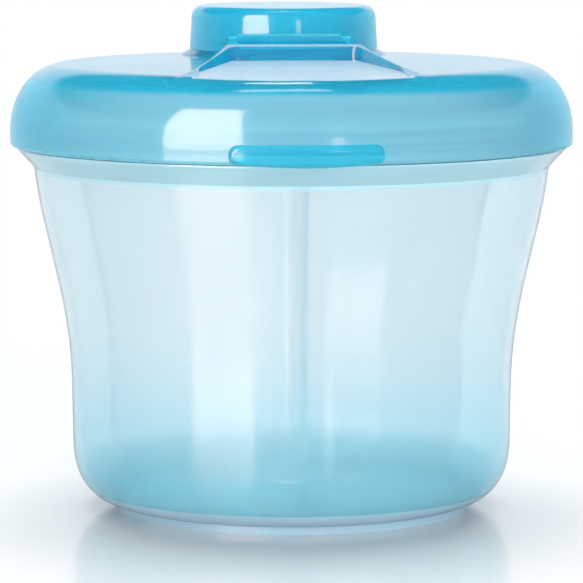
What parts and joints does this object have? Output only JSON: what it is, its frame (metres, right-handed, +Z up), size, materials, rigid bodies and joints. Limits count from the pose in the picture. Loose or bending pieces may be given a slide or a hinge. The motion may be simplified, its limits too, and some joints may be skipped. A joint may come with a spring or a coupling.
{
  "type": "formula dispenser",
  "caption": "Round lidded tub for milk powder with a lift-out divider, a turning snap-fit lid with an off-centre spout, and a hinged flip cap.",
  "frame": {"origin": "centre of the tub's foot ring, on the surface that the tub stands on", "axes": "+Z up; -Y is the front, where the lid's thumb tab is; +Y is the back, where the spout is; +X is to the right seen from the front"},
  "size_m": [0.112, 0.1137, 0.0992],
  "materials": {
    "frosted_body": "clear polypropylene, pale blue, slightly cloudy, smooth outside",
    "frosted_divider": "clear polypropylene, pale blue, slightly cloudy",
    "clear_disc": "clear polypropylene, pale blue",
    "blue_lid": "clear tinted aqua-blue plastic, glossy",
    "blue_cap": "clear tinted aqua-blue plastic, glossy"
  },
  "bodies": {
    "tub": {"tub": "frosted_body"},
    "divider": {"divider": "frosted_divider"},
    "closure_disc": {"closure_disc": "clear_disc"},
    "lid": {"lid": "blue_lid"},
    "spout_cap": {"spout_cap": "blue_cap"}
  },
  "joints": [
    {"name": "divider_lift", "type": "slide", "parent": "tub", "child": "divider", "axis": [0, 0, 1], "range_m": [0, 0.08]},
    {"name": "lid_turn", "type": "hinge", "parent": "divider", "child": "closure_disc", "pos_m": [0, 0, 0.0817], "axis": [0, 0, 1], "continuous": true},
    {"name": "lid_lift", "type": "slide", "parent": "closure_disc", "child": "lid", "axis": [0, 0, 1], "range_m": [0, 0.02]},
    {"name": "cap_flip", "type": "hinge", "parent": "lid", "child": "spout_cap", "pos_m": [0, 0.0085, 0.0929], "axis": [1, 0, 0], "range_deg": [0, 120]}
  ]
}
